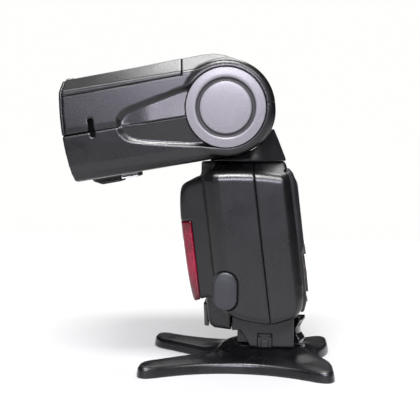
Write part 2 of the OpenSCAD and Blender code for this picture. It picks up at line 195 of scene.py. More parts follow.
# ---------------------------------------------------------------- pieces
def add_mesh(name, points, faces, matrix=WORLD):
    """faces is one array of corner indices per polygon size."""
    mesh = bpy.data.meshes.new(name)
    p = np.asarray(points, np.float64)
    m = np.array(matrix)
    p = (p @ m[:3, :3].T + m[:3, 3]) * MM
    faces = [np.asarray(f, np.int32) for f in faces if len(f)]
    mesh.vertices.add(len(p))
    mesh.vertices.foreach_set("co", p.astype(np.float32).ravel())
    mesh.loops.add(sum(f.size for f in faces))
    mesh.loops.foreach_set("vertex_index", np.concatenate([f.ravel() for f in faces]))
    starts = np.cumsum([0] + [f.shape[1] for f in faces for _ in range(len(f))])[:-1]
    mesh.polygons.add(len(starts))
    mesh.polygons.foreach_set("loop_start", starts.astype(np.int32))
    mesh.update(calc_edges=True)
    mesh.validate()
    mesh.shade_smooth()
    obj = bpy.data.objects.new(name, mesh)
    bpy.context.scene.collection.objects.link(obj)
    return obj


def finish_piece(obj, body, material, replaces=()):
    obj.data.materials.clear()
    obj.data.materials.append(material)
    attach(obj, body)
    if replaces:
        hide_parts(*replaces)
    return obj


def field_mesh(name, g, field, matrix=WORLD):
    """The surface on which a distance field is zero."""
    far = 3.0
    vol = openvdb.FloatGrid()
    vol.background = far
    shape = np.broadcast_shapes(g.x.shape, g.y.shape, g.z.shape)
    data = np.ascontiguousarray(np.broadcast_to(field, shape), dtype=np.float32)
    vol.copyFromArray(np.clip(data, -far, far))
    points, tris, quads = vol.convertToPolygons(isovalue=0.0, adaptivity=0.0)
    return add_mesh(name, points * g.step + g.lo, [tris, quads], matrix)


def paint(obj, material, test, matrix=WORLD):
    """Puts a second material on the faces whose centres, in the matrix's frame, pass the test."""
    obj.data.materials.append(material)
    mesh = obj.data
    centre = np.empty(len(mesh.polygons) * 3, np.float32)
    mesh.polygons.foreach_get("center", centre)
    m = np.array(matrix.inverted())
    p = (centre.reshape(-1, 3) / MM) @ m[:3, :3].T + m[:3, 3]
    mesh.polygons.foreach_set("material_index", test(p[:, 0], p[:, 1], p[:, 2]).astype(np.int32))


def soften(points, r, closed=False):
    """Rounds the corners of a profile, with a support point each side of every arc."""
    out = []
    n = len(points)
    for i, p in enumerate(points):
        if not closed and i in (0, n - 1):
            out.append(tuple(p))
            continue
        a, b, c = (Vector(points[(i + k) % n]) for k in (-1, 0, 1))
        u, v = (a - b), (c - b)
        reach = min(r, 0.42 * u.length, 0.42 * v.length)
        u.normalize()
        v.normalize()
        start, end = b + u * reach, b + v * reach
        out.append(tuple(start + u * 0.12 * reach))
        for k in range(5):
            t = k / 4
            out.append(tuple(start * (1 - t) ** 2 + b * 2 * t * (1 - t) + end * t * t))
        out.append(tuple(end + v * 0.12 * reach))
    return out


def turned(side):
    """Turns a lathe's +X axis to face +Y or -Y."""
    return Matrix.Rotation(math.radians(90 * side), 4, "Z")


def lathe(name, profile, matrix, steps=96, closed=False):
    """Turns a profile of (distance along X, radius) about the X axis."""
    angle = np.linspace(0, 2 * math.pi, steps, endpoint=False)
    ends = [] if closed else [profile[0], profile[-1]]
    body = profile if closed else profile[1:-1]
    points = [(a, r * math.cos(t), r * math.sin(t)) for a, r in body for t in angle]
    rows = len(body)
    quads = []
    for i in range(rows if closed else rows - 1):
        k = (i + 1) % rows
        for j in range(steps):
            m = (j + 1) % steps
            quads.append((i * steps + j, i * steps + m, k * steps + m, k * steps + j))
    tris = []
    if ends:
        first, last = len(points), len(points) + 1
        points += [(ends[0][0], 0, 0), (ends[1][0], 0, 0)]
        for j in range(steps):
            m = (j + 1) % steps
            tris.append((first, m, j))
            tris.append((last, (rows - 1) * steps + j, (rows - 1) * steps + m))
    obj = add_mesh(name, points, [tris, quads], matrix)
    mesh = bmesh.new()
    mesh.from_mesh(obj.data)
    bmesh.ops.recalc_face_normals(mesh, faces=mesh.faces)
    mesh.to_mesh(obj.data)
    mesh.free()
    obj.data.shade_smooth()
    return obj


# ---------------------------------------------------------------- materials
def principled(name, colour, rough, metallic=0.0, coat=0.0, spec=0.5):
    mat = bpy.data.materials.new(name)
    mat.use_nodes = True
    nt = mat.node_tree
    b = nt.nodes["Principled BSDF"]
    b.inputs["Base Color"].default_value = (*colour, 1)
    b.inputs["Roughness"].default_value = rough
    b.inputs["Metallic"].default_value = metallic
    b.inputs["Coat Weight"].default_value = coat
    b.inputs["Specular IOR Level"].default_value = spec
    return mat, nt, b


def node(nt, kind, **props):
    n = nt.nodes.new(kind)
    for k, v in props.items():
        if k in n.inputs:
            n.inputs[k].default_value = v
        else:
            setattr(n, k, v)
    return n


def noise(nt, coord, scale, detail=2.0, rough=0.5):
    n = node(nt, "ShaderNodeTexNoise")
    n.inputs["Scale"].default_value = scale
    n.inputs["Detail"].default_value = detail
    n.inputs["Roughness"].default_value = rough
    nt.links.new(coord, n.inputs["Vector"])
    return n.outputs["Fac"]


def spread(nt, value, lo, hi, to_lo, to_hi):
    n = node(nt, "ShaderNodeMapRange")
    for key, v in (("From Min", lo), ("From Max", hi), ("To Min", to_lo), ("To Max", to_hi)):
        n.inputs[key].default_value = v
    nt.links.new(value, n.inputs["Value"])
    return n.outputs["Result"]


def mixed(nt, factor, a, b):
    n = node(nt, "ShaderNodeMix", data_type="RGBA")
    nt.links.new(factor, n.inputs["Factor"])
    for key, c in (("A", a), ("B", b)):
        socket = [s for s in n.inputs if s.name == key and s.type == "RGBA"][0]
        if isinstance(c, (tuple, list)):
            socket.default_value = (*c, 1)
        else:
            nt.links.new(c, socket)
    return [s for s in n.outputs if s.type == "RGBA"][0]


def moulded(name, dark, light, rough, grain_scale=1500.0, grain=0.35, depth=0.00006,
            rough_swing=0.08, speck=0.5, spec=0.5, coat=0.0, clouds=0.45):
    """Moulded plastic or rubber: fine spark-eroded grain, soft patches of handling wear."""
    mat, nt, b = principled(name, dark, rough, spec=spec, coat=coat)
    coord = node(nt, "ShaderNodeTexCoord").outputs["Object"]
    fine = noise(nt, coord, grain_scale, 2.0, 0.6)
    patch = noise(nt, coord, 45.0, 4.0, 0.6)
    speckle = spread(nt, fine, 0.5, 0.72, 0.0, speck)
    cloud = spread(nt, patch, 0.35, 0.7, 0.0, clouds)
    total = node(nt, "ShaderNodeMath", operation="ADD", use_clamp=True)
    nt.links.new(speckle, total.inputs[0])
    nt.links.new(cloud, total.inputs[1])
    nt.links.new(mixed(nt, total.outputs[0], dark, light), b.inputs["Base Color"])
    nt.links.new(spread(nt, patch, 0.3, 0.7, rough - rough_swing, rough + rough_swing),
                 b.inputs["Roughness"])
    bump = node(nt, "ShaderNodeBump")
    bump.inputs["Strength"].default_value = grain
    bump.inputs["Distance"].default_value = depth
    nt.links.new(fine, bump.inputs["Height"])
    nt.links.new(bump.outputs["Normal"], b.inputs["Normal"])
    return mat


def metal(name, colour, rough):
    """Bare or plated metal with fine brushed lines and soft stains."""
    mat, nt, b = principled(name, colour, rough, metallic=1.0)
    coord = node(nt, "ShaderNodeTexCoord").outputs["Object"]
    stretch = node(nt, "ShaderNodeMapping")
    stretch.inputs["Scale"].default_value = (1.0, 0.08, 1.0)
    nt.links.new(coord, stretch.inputs["Vector"])
    line = noise(nt, stretch.outputs["Vector"], 2400.0, 3.0, 0.6)
    patch = noise(nt, coord, 120.0, 3.0)
    nt.links.new(spread(nt, line, 0.3, 0.7, rough - 0.06, rough + 0.12), b.inputs["Roughness"])
    stain = tuple(c * 0.75 for c in colour)
    nt.links.new(mixed(nt, spread(nt, patch, 0.3, 0.7, 0, 0.5), colour, stain), b.inputs["Base Color"])
    bump = node(nt, "ShaderNodeBump")
    bump.inputs["Strength"].default_value = 0.12
    bump.inputs["Distance"].default_value = 0.00002
    nt.links.new(line, bump.inputs["Height"])
    nt.links.new(bump.outputs["Normal"], b.inputs["Normal"])
    return mat


def clear_plastic(name, colour, rough, through, ior):
    """Moulded clear plastic with slightly uneven gloss and tint."""
    mat, nt, b = principled(name, colour, rough)
    b.inputs["Transmission Weight"].default_value = through
    b.inputs["IOR"].default_value = ior
    coord = node(nt, "ShaderNodeTexCoord").outputs["Object"]
    patch = noise(nt, coord, 60.0, 3.0)
    tint = tuple(c * 0.82 for c in colour)
    nt.links.new(mixed(nt, spread(nt, patch, 0.3, 0.7, 0, 1), colour, tint), b.inputs["Base Color"])
    nt.links.new(spread(nt, patch, 0.3, 0.7, rough * 0.7, rough * 1.4), b.inputs["Roughness"])
    return mat


def crimson():
    """Deep red clear plastic, with random blotches of painted shade for the parts behind it, and painted
    shade darkening its two ends.
    """
    mat, nt, b = principled("af_crimson", (0.4, 0.0, 0.03), 0.1)
    b.inputs["Transmission Weight"].default_value = 0.45
    b.inputs["IOR"].default_value = 1.49
    coord = node(nt, "ShaderNodeTexCoord").outputs["Object"]
    split = node(nt, "ShaderNodeSeparateXYZ")
    nt.links.new(coord, split.inputs[0])
    # Painted shade: random darker blotches stand for the parts behind the window.
    blot = noise(nt, coord, 160.0, 3.0, 0.6)
    body = mixed(nt, spread(nt, blot, 0.4, 0.62, 0, 1), (0.34, 0.002, 0.036), (0.17, 0.0, 0.016))
    # Painted shade: darker towards the top and bottom ends of the window, by world height.
    top = spread(nt, split.outputs["Z"], 0.062, 0.076, 0, 0.8)
    foot = spread(nt, split.outputs["Z"], 0.052, 0.040, 0, 0.6)
    ends = node(nt, "ShaderNodeMath", operation="ADD", use_clamp=True)
    nt.links.new(top, ends.inputs[0])
    nt.links.new(foot, ends.inputs[1])
    nt.links.new(mixed(nt, ends.outputs[0], body, (0.07, 0.0, 0.006)), b.inputs["Base Color"])
    nt.links.new(spread(nt, blot, 0.3, 0.7, 0.07, 0.14), b.inputs["Roughness"])
    return mat


M_CASE = moulded("case_grain", (0.0025, 0.0025, 0.0028), (0.011, 0.011, 0.0115), 0.3, 1300.0, 0.5,
                 0.00008, rough_swing=0.05, clouds=0.25)
# Painted shadow: a near-black, matt material for the faces inside the head's seam gap and side notch.
M_GAP_SHADOW = moulded("shadow_gap", (0.002, 0.002, 0.002), (0.004, 0.004, 0.004), 0.9, 900.0, 0.1, spec=0.05)
M_STAND = moulded("stand_satin", (0.006, 0.006, 0.007), (0.014, 0.014, 0.015), 0.3, 1100.0, 0.2,
                  speck=0.35)
M_FOOT = moulded("foot_satin", (0.012, 0.012, 0.013), (0.026, 0.026, 0.027), 0.38, 1500.0, 0.25,
                 speck=0.4)
M_HUB = moulded("hub_satin", (0.16, 0.155, 0.168), (0.20, 0.195, 0.21), 0.27, 2200.0, 0.1, speck=0.3,
                rough_swing=0.02, clouds=0.15)
# Painted shade: a darker, rougher copy of the hub grey for the inside of the cap's ring groove.
M_GROOVE_SHADE = moulded("hub_groove_shade", (0.03, 0.03, 0.032), (0.045, 0.045, 0.047), 0.45, 2200.0, 0.1,
                   spec=0.25)
M_RUBBER = moulded("cover_rubber", (0.014, 0.015, 0.0175), (0.024, 0.026, 0.03), 0.4, 2600.0, 0.15,
                   speck=0.2)
M_KEY = moulded("key_matt", (0.03, 0.03, 0.032), (0.06, 0.06, 0.062), 0.5, 2200.0, 0.2)
M_GLOSS = moulded("gloss_black", (0.006, 0.006, 0.007), (0.012, 0.012, 0.013), 0.12, 300.0, 0.05,
                  rough_swing=0.04, speck=0.2, coat=0.6)
M_TRIM = moulded("trim_black", (0.01, 0.01, 0.011), (0.022, 0.022, 0.024), 0.34, 2000.0, 0.15)
M_RED = crimson()
M_LENS = clear_plastic("lens_clear", (0.93, 0.95, 0.97), 0.14, 0.97, 1.49)
M_INNER = moulded("inner_plastic", (0.03, 0.03, 0.03), (0.06, 0.06, 0.06), 0.6, 900.0, 0.3)
M_WRAP = moulded("cell_wrap", (0.10, 0.105, 0.11), (0.16, 0.165, 0.17), 0.3, 900.0, 0.05, speck=0.3,
                 coat=0.3)
M_SLEEVE = moulded("capacitor_sleeve", (0.02, 0.03, 0.10), (0.035, 0.05, 0.15), 0.3, 700.0, 0.05,
                   coat=0.3)
M_BOARD = moulded("board_green", (0.01, 0.07, 0.03), (0.02, 0.12, 0.05), 0.35, 400.0, 0.1, speck=0.7)
M_AMBER = moulded("test_amber", (0.022, 0.013, 0.012), (0.034, 0.02, 0.018), 0.4, 2200.0, 0.1)
M_CARD = moulded("card_white", (0.78, 0.78, 0.77), (0.86, 0.86, 0.85), 0.45, 2000.0, 0.05, speck=0.2)
M_WINDOW = clear_plastic("clear_window", (0.8, 0.84, 0.86), 0.04, 0.95, 1.49)
M_GLASS = clear_plastic("tube_glass", (0.95, 0.97, 1.0), 0.05, 0.95, 1.46)
M_GOLD = metal("contact_gold", (0.83, 0.62, 0.24), 0.22)
M_STEEL = metal("steel", (0.6, 0.6, 0.62), 0.32)
M_BRASS = metal("brass", (0.72, 0.55, 0.27), 0.34)
M_MIRROR = metal("reflector_bright", (0.86, 0.87, 0.88), 0.12)


# ---------------------------------------------------------------- head shells
def front_line(z):
    """Forward limit of the head at height z: a shallow bow that leads at the seam."""
    return -77.9 + 2.4 * ((z + 1.5) / 25.5) ** 2


def head_blank(g):
    """The head's outer form without its front."""
    outline = [(OPEN_FRONT, -23.7), (-3, -22.6), (0, 0), (8, 21.2), (3, 24.6), (-2, 26.3), (-7, 26.8),
               (-14, 26.6), (-40, 25.6), (OPEN_FRONT, 24.6)]
    profile = poly(g.x, g.z, outline, 0.6)
    right = [(29, -24.3), (33.2, -22.9), (35.9, -20), (37.0, -16), (37.6, -8), (HEAD_HALF, 2),
             (37.2, 15.5), (37.0, 19.4), (29.6, 24.3), (25, 27.4)]
    left = [(-y, z) for y, z in right[::-1]]
    section = poly(g.y, g.z, right + left, 2.2)
    block = round_both(profile, section, 1.0)
    hub = round_both(disc(g.x, g.z, 0, 0, HUB_R), np.abs(g.y) - HEAD_HALF, 3.6)
    return soft_either(block, hub, 1.2)


def scoop_depth(g):
    """How far the teardrop beside the hub is sunk, over x and z."""
    upper = curve([(0, 18.9), (-12, 14.6), (-22, 13.0), (-36.5, 9.9), (-47.0, 7.2), (-51.6, 3.4)], 5)
    lower = curve([(-52.6, -1.0), (-51.2, -5.6), (-46.5, -9.8), (-35.5, -13.0), (-17, -17.0),
                   (-7, -18.3), (0, -18.9)], 5)
    d = poly(g.x, g.z, upper + lower[:-1] + [(6, -17), (6, 17)])
    ramp, deepest, ridge_z = 3.5, 3.0, -1.5
    floor = 0.5 + 0.8 * ease((-35 - g.x) / 15) + 0.17 * np.abs(g.z - ridge_z)
    return soft_either(floor, deepest, 0.6) * ease(-d / ramp)


def head_fields(g):
    """The hollow head with room for the neck's stem, its outer form, and that room."""
    blank = head_blank(g)
    scoop = scoop_depth(g)
    sunk = both(blank, np.abs(g.y) - 37.95 + scoop)
    inner = both(blank + 2.0, np.abs(g.y) - 36.4 + scoop)
    caps = both(disc(g.x, g.z, 0, 0, CAP_R + 0.18), 34.3 - np.abs(g.y))
    shell = both(sunk, -inner, -caps)
    behind = -(g.x * -math.sin(STEM_FROM) + g.z * math.cos(STEM_FROM))
    ahead = g.x * -math.sin(STEM_TO) + g.z * math.cos(STEM_TO)
    stem_slot = both(disc(g.x, g.z, 0, 0, 33), np.abs(g.y) - 14.4, behind, ahead)
    return both(shell, -stem_slot), blank, stem_slot


def seam_gap(g):
    """Half gap between upper and lower head shell: open ahead of the side notch, tight behind it."""
    return np.where(g.x < -63.0, 0.3, 0.1)


def in_shadowed_gap(x, y, z):
    """Faces inside the side notch and the open part of the seam, which get a painted shadow."""
    side = (x < -61.5) & (x > -77) & (np.abs(y) < 37.3) & (np.abs(y) > 30)
    notch = (x > -65.4) & (z > -4) & (z < 5.2)
    return side & (notch | (np.abs(z - HEAD_SEAM) < 0.6))


def head_shells():
    """Upper and lower shell and the top cover, with lips behind their joints."""
    g = Grid((-80, -41, -28), (26, 41, 30), 0.45)
    shell, blank, stem_slot = head_fields(g)
    nose = front_line(g.z) + np.where(g.z > HEAD_SEAM, 1.9, 0.3) - g.x
    shell = round_both(shell, nose, 0.12)
    seam = g.z - HEAD_SEAM
    wall = both(blank + 1.2, -blank - 2.3, nose, 19.6 - disc(g.x, g.z, 0, 0, 0), -stem_slot)
    notch = either(poly(g.x, g.z, [(-64.9, -1.3), (-62.0, -1.4), (-62.4, 4.8), (-64.25, 5.0)], 0.2),
                   rect(g.x, g.z, -63.3, -2.4, 0.9, 1.3, 0.2))
    notch = both(notch, -blank - 2.3, 30 - np.abs(g.y))
    backing = both(rect(g.x, g.z, -63.4, 0.6, 3.2, 6.2), blank + 1.9, -blank - 3.2, 30 - np.abs(g.y))
    gap = 0.06
    cover_line = g.z - (16.9 + (g.x + 73.0) * 0.018)
    cover = both(-cover_line + gap, g.x - (COVER_END - gap))
    not_cover = either(cover_line + gap, (COVER_END + gap) - g.x)
    cover_lip = both(wall, np.abs(cover_line) - 1.4, g.x + 15.6)
    back_lip = both(wall, np.abs(g.x - COVER_END) - 1.4, -cover_line - 1.4)
    upper = both(round_both(shell, seam_gap(g) - seam, 0.2), not_cover)
    upper = both(either(upper, cover_lip, back_lip, both(backing, -seam)), -notch)
    seam_lip = both(wall, np.abs(seam) - 1.5)
    lower = either(round_both(shell, seam + seam_gap(g), 0.2), seam_lip)
    lower = both(either(lower, both(backing, seam)), -notch)
    catch = poly(g.x, g.z, [(-73.6, -23), (-72.2, -25.0), (-68.2, -27.0), (-58.6, -26.8), (-58.4, -23)],
                 0.3)
    lower = either(lower, round_both(catch, np.abs(g.y) - 7.8, 0.5))
    top = round_both(shell - 0.25, cover, 0.5)
    for name, field, cad in (("head_upper", upper, "head_upper_shell"),
                             ("head_lower", lower, "head_lower_shell"),
                             ("head_cover", top, "head_top_cover")):
        obj = finish_piece(field_mesh(name, g, field, HEAD), "head", M_CASE, (cad,))
        if name != "head_cover":
            # Painted shadow in the side notch and the open part of the seam.
            paint(obj, M_GAP_SHADOW, in_shadowed_gap, HEAD)


def head_front():
    """Steel plate of the filter catch, front bezel with its card slot, and the lens."""
    g = Grid((-60, -8, -26), (-48.5, 8, -22.8), 0.3)
    plate = round_both(rect(g.x, g.y, -54.2, 0, 4.9, 7.0, 1.0), slab(g.z, -25.7, -23.2), 0.3)
    finish_piece(field_mesh("catch_plate", g, plate, HEAD), "head", M_MIRROR)

    g = Grid((-80, -38, -26), (-69, 38, 28), 0.45)
    blank = head_blank(g)
    face = front_line(g.z)
    opening = rect(g.y, g.z, 0, LENS_Z, 33.6, 18.1, 2.0)
    card_slot = rect(g.y, g.z, 0, 19.6, 28.3, 1.75, 0.3)
    rim = round_both(blank + np.where(g.z > HEAD_SEAM, 0.02, 2.02), face + 0.25 - g.x, 0.6)
    rim = both(rim, g.x - face - 1.86)
    lip = both(blank + 2.35, face - g.x + 1.0, g.x + 72.2)
    bezel = both(either(rim, lip), -opening, -card_slot)
    finish_piece(field_mesh("head_bezel", g, bezel, HEAD), "head", M_CASE,
                 ("head_front_bezel",))

    g = Grid((-79, -34.5, -21), (-72, 34.5, 18), 0.3)
    ribs = 0.22 * np.abs(((g.z + 40) / 1.1) % 1.0 - 0.5)
    pane = both(front_line(g.z) + 0.55 + ribs - g.x, g.x + 73.8)
    pane = round_both(pane, rect(g.y, g.z, 0, LENS_Z, 33.3, 17.8, 2.0), 0.3)
    finish_piece(field_mesh("lens", g, pane, HEAD), "head", M_LENS, ("fresnel_lens",))


def card_parts():
    """Pull-out diffuser and bounce card, with the tabs that stand at the front edge."""
    g = Grid((-79, -28, 19.5), (-35.5, 28, 28.6), 0.35)
    leaf = round_both(rect(g.x, g.y, -56.3, 0, 20.4, 27.5, 1.5), slab(g.z, 20.02, 20.98), 0.2)
    tab = either(both(slab(g.x, -78.0, -76.9), slab(g.z, 20.0, 27.7)),
                 both(slab(g.x, -78.0, -74.6), slab(g.z, 26.4, 27.7)))
    tab = round_both(tab, np.abs(g.y) - 7.0, 0.4)
    finish_piece(field_mesh("diffuser", g, either(leaf, tab), HEAD), "wide_panel", M_LENS,
                 ("wide_panel",))

    g = Grid((-78, -28, 16.4), (-35.5, 28, 19.6), 0.3)
    leaf = round_both(rect(g.x, g.y, -55.9, 0, 19.9, 27.5, 1.5), slab(g.z, 18.3, 19.1), 0.15)
    tab = round_both(rect(g.x, g.y, -76.4, 17, 0.6, 7, 0.3), slab(g.z, 16.9, 19.1), 0.2)
    finish_piece(field_mesh("bounce_leaf", g, either(leaf, tab), HEAD), "bounce_card", M_CARD,
                 ("bounce_card",))


HUB_STEPS = 128


def hub_parts():
    """Left cap with its ring groove, and the right cap, a ring around the release button."""
    waves, outer, width = 12, 14.5, 3.1
    groove = [(38.55 - 0.5 * (1 - math.cos(2 * math.pi * k / waves)), outer - width * k / waves)
              for k in range(waves + 1)]
    cap = (soften([(34.4, 0), (34.4, 18.5), (38.25, 18.5), (38.5, 15.6), groove[0]], 0.4) + groove[1:]
           + [(38.6, 10.9), (38.75, 7.0), (38.8, 3.0), (38.8, 0)])
    left = finish_piece(lathe("hub_left", cap, HEAD @ turned(-1), HUB_STEPS), "head", M_HUB,
                        ("hub_cap_left",))
    # Painted shade in the ring groove of the left cap.
    paint(left, M_GROOVE_SHADE, lambda x, y, z: (y < -37) & (np.abs(np.hypot(x, z) - 12.95) < 1.15), HEAD)
    rim = soften([(34.4, 11.85), (34.4, 18.45), (38.35, 18.45), (38.6, 14.2), (38.45, 11.85)], 0.3, True)
    finish_piece(lathe("hub_right", rim, HEAD @ turned(1), HUB_STEPS, True), "head", M_HUB,
                 ("hub_cap_right",))


def button_parts():
    knob = soften([(30.05, 0), (30.05, 2.98), (36.6, 2.98), (36.6, 11.7), (38.45, 11.7), (38.6, 9.2),
                   (38.3, 8.6), (38.25, 0)], 0.4)
    finish_piece(lathe("release_knob", knob, HEAD @ turned(1), HUB_STEPS), "tilt_release", M_HUB,
                 ("tilt_release_button",))


# ---------------------------------------------------------------- neck
def neck_parts():
    """Turned saddle under the head, with the tube that goes down into the body's collar."""
    g = Grid((-39, -24, 88.6), (10, 24, 119.5), 0.45)
    d = disc(g.x, g.y, SWIVEL_X, 0, 0)
    line = poly(d, g.z, [(0, 101.85), (21.4, 101.85), (21.75, 102.3), (21.2, 104), (19.8, 107.5),
                         (17.9, 112.3), (15.6, 117.6), (0, 117.9)], 0.4)
    pivot = disc(g.x, g.z, PIVOT_X, PIVOT_Z, 22.95)
    c, s = math.cos(HEAD_DIP), math.sin(HEAD_DIP)
    head_x = (g.x - PIVOT_X) * c + (g.z - PIVOT_Z) * s
    head_z = -(g.x - PIVOT_X) * s + (g.z - PIVOT_Z) * c
    under_head = both(head_x - 1.0, -(head_z + 23.3))
    cheek = both(round_both(line, -pivot, 0.15), -under_head)
    tube = both(d - 15.85, 89.3 - g.z, g.z - 102.4)
    body = both(either(cheek, tube), -both(d - 10.0, g.z - 108))
    dot = np.sqrt((g.x + 8.4) ** 2 + (np.abs(g.y) - 20.6) ** 2 + (g.z - 104.9) ** 2) - 0.55
    body = both(body, -dot)
    finish_piece(field_mesh("neck_shield", g, body), "neck", M_TRIM, ("neck_saddle",))


# ---------------------------------------------------------------- body shells
FLOOR_LINE = [(-34.6, 12.7), (-28.9, 14.4), (-25.2, 12.7), (-23.2, 9.6), (-21, 7.4), (-13.5, 3.4),
              (-6.6, 1.2), (0.8, -0.4), (7.5, 0.4), (12.4, 1.8), (16.0, 5.0)]
BACK_LINE = [(17.9, 10.5), (18.3, 17), (18.2, 38), (17.7, 58), (17.4, 66.5), (16.0, 74), (15.0, 80)]
SIDE_PLAN = [(-25.2, -31.6), (-19.0, -36.7), (-16.0, -37.3), (13.6, -37.4), (19.0, -34.5),
             (19.0, 34.5), (13.6, 37.4), (-16.0, 37.3), (-19.0, 36.7), (-25.2, 31.6)]
NOSE_PLAN = [(-24.0, -30.9), (-5, -30.9), (-5, 30.9), (-24.0, 30.9), (-33.0, 29.0), (-36.6, 25.8),
             (-38.3, 18.5), (-38.9, 0), (-38.3, -18.5), (-36.6, -25.8), (-33.0, -29.0)]
NOSE_FRONT = [(-20, 74.4), (-27.5, 71.6), (-32.5, 70.3), (-35.4, 67.5), (-37.2, 62), (-38.3, 55),
              (-38.8, 46), (-38.6, 35.5), (-37.7, 24.8), (-35.9, 15.2), (-34.6, 12.7)]


def upright(g):
    """World x and z of a grid in the leaning frame."""
    c, s = math.cos(BODY_LEAN), math.sin(BODY_LEAN)
    return g.x * c - g.z * s, g.x * s + g.z * c + LEAN_Z


def body_blank(g):
    """The body's outer form in the leaning frame: side block, narrower nose, crown and collar."""
    wx, wz = upright(g)
    d = disc(wx, g.y, SWIVEL_X, 0, 0)
    under = curve(FLOOR_LINE[2:], 4)
    profile = poly(g.x, g.z, under + BACK_LINE + [(-17, 80), (-19.5, 74.8), (-25.2, 72.4)], 0.3)
    crown = wz - 101.3 + 0.25 * np.maximum(d - 20.7, 0)
    block = round_both(soft_both(profile, crown, 2.0), poly(g.x, g.y, SIDE_PLAN, 0.6), 3.8)
    nose_line = curve(FLOOR_LINE[:4], 4) + [(-5, 8), (-5, 73)] + curve(NOSE_FRONT, 4)[:-1]
    nose = round_both(poly(g.x, g.z, nose_line, 0.3), poly(g.x, g.y, NOSE_PLAN, 1.2), 3.0)
    out = soft_either(block, nose, 0.7)
    collar = both(round_both(d - 20.5, wz - 101.35, 0.9), 88 - wz)
    return soft_either(out, collar, 2.2), d, wx, wz


def oval(x, z, grow):
    """Terminal cover outline in world x and z."""
    return disc(x - COVER_X, np.maximum(np.abs(z - COVER_Z) - 3.6, 0), 0, 0, 5.6 + grow)


def body_shells():
    """Front and rear shell, with openings for the window, the display unit, the door and the cover."""
    g = Grid((-41, -39, -3), (20, 39, 79), 0.5)
    blank, d, wx, wz = body_blank(g)
    shell = both(blank, -(blank + 2.2))
    shell = either(shell, both(d - 20.4, 91.8 - wz, wz - 101.3, blank))
    shell = both(shell, -(d - 16.3))
    shell = both(shell, -both(oval(wx, wz, 0.22), g.y + 26.4))
    bay = both(14.9 - g.x, np.abs(g.y) - 29.3, slab(g.z, 2.2, 70.6))
    shell = either(both(shell, -bay), both(blank, slab(g.x, 12.7, 14.9), bay + 2.5, -(d - 20.4)))
    door = both(slab(g.x, -20.22, 12.4), 33.0 - g.y, g.z - 46.22)
    shell = both(shell, -door)
    hinge = both(disc(g.x, g.y, PIN_X, PIN_Y, 1.15), slab(g.z, 40, 53))
    shell = both(shell, -hinge)
    window = both(g.x + 31.4, slab(g.z, *WINDOW_Z))
    split = g.x - SEAM_X
    lip = both(blank + 1.2, -(blank + 2.25), slab(g.x, -1.2, 0.9), -door, wz - 95)
    front = both(round_both(shell, split + 0.1, 0.25), -window, -(lip - 0.12))
    rear = either(round_both(shell, -split + 0.1, 0.25), lip)
    for z in SCREW_Z:
        bore = disc(np.abs(g.y), g.z, SCREW_Y, z, 0)
        rear = both(rear, -both(bore - 1.62, 12 - g.x), -both(bore - 2.1, 16 - g.x))
    finish_piece(field_mesh("body_front", g, front, LEAN), "body", M_CASE,
                 ("body_front_shell",))
    finish_piece(field_mesh("body_rear", g, rear, LEAN), "body", M_CASE,
                 ("body_rear_shell",))


def body_details():
    """Red window, battery door, terminal cover, lower front block and its dark sensor strip."""
    g = Grid((-40.5, -32, 12), (-30, 32, 53), 0.4)
    blank = body_blank(g)[0]
    pane = both(blank + 0.12, -(blank + 2.1))
    pane = round_both(pane, both(g.x + 31.62, slab(g.z, 13.0, 51.8)), 0.4)
    finish_piece(field_mesh("af_pane", g, pane, LEAN), "body", M_RED, ("af_window",))

    g = Grid((-21.5, 32, -2), (14, 39, 47.5), 0.4)
    blank = body_blank(g)[0]
    leaf = round_both(blank + 0.03, both(slab(g.x, -19.98, 10.2), 33.3 - g.y, g.z - 46.0), 0.3)
    knuckle = both(disc(g.x, g.y, PIN_X, PIN_Y, 1.95), blank)
    thumb = both(rect(g.x, g.z, -12.5, 24, 4.2, 7.5, 3.0), 36.75 - g.y)
    ribs = both(rect(g.x, g.z, -12.5, 24, 3.6, 6.9, 2.6), np.abs((g.z + 40) % 2.0 - 1.0) - 0.45,
                g.y - 37.15, 35 - g.y)
    leaf = either(both(either(leaf, knuckle), -thumb), ribs)
    leaf = both(leaf, -both(disc(g.x, g.y, PIN_X, PIN_Y, 0.97), 7.9 - g.z))
    finish_piece(field_mesh("door_leaf", g, leaf, LEAN), "battery_door", M_CASE,
                 ("battery_door",))

    g = Grid((-27, -39.2, 31.8), (-14, -33.8, 51.4), 0.3)
    pill = oval(g.x, g.z, -0.12)
    dome = -38.6 + 0.35 * ease(1 + pill / 4.5) - g.y
    plug = both(round_both(pill, dome, 0.9), g.y + 34.2)
    barb = both(disc(g.x, g.y, -15.55, -37.6, 0.35), slab(g.z, 37, 46.2))
    finish_piece(field_mesh("jack_cover", g, either(plug, barb)), "terminal_cover", M_RUBBER,
                 ("terminal_cover",))

    g = Grid((-33.6, -18, -7), (-15.4, 18, 16.4), 0.35)
    blank, _, wx, wz = body_blank(g)
    line = [(-31.1, 40), (-31.0, 33), (-30.2, 24.4), (-29.2, 21.6), (-27.0, 20.0), (-18.75, 19.1),
            (-18.75, 40)]
    block = both(round_both(poly(wx, wz, line, 0.5), np.abs(g.y) - 17, 2.0), 0.12 - blank)
    finish_piece(field_mesh("lower_block", g, block, LEAN), "body", M_CASE,
                 ("lower_front_block",))

    g = Grid((-34, -12, 18.5), (-29, 12, 32.6), 0.3)
    strip = poly(g.x, g.z, [(-32.4, 19.9), (-30.0, 19.6), (-30.6, 31.6), (-32.9, 31.3)], 0.5)
    strip = round_both(strip, np.abs(g.y) - 11, 1.0)
    finish_piece(field_mesh("sensor_cover", g, strip), "body", M_GLOSS,
                 ("sensor_window",))


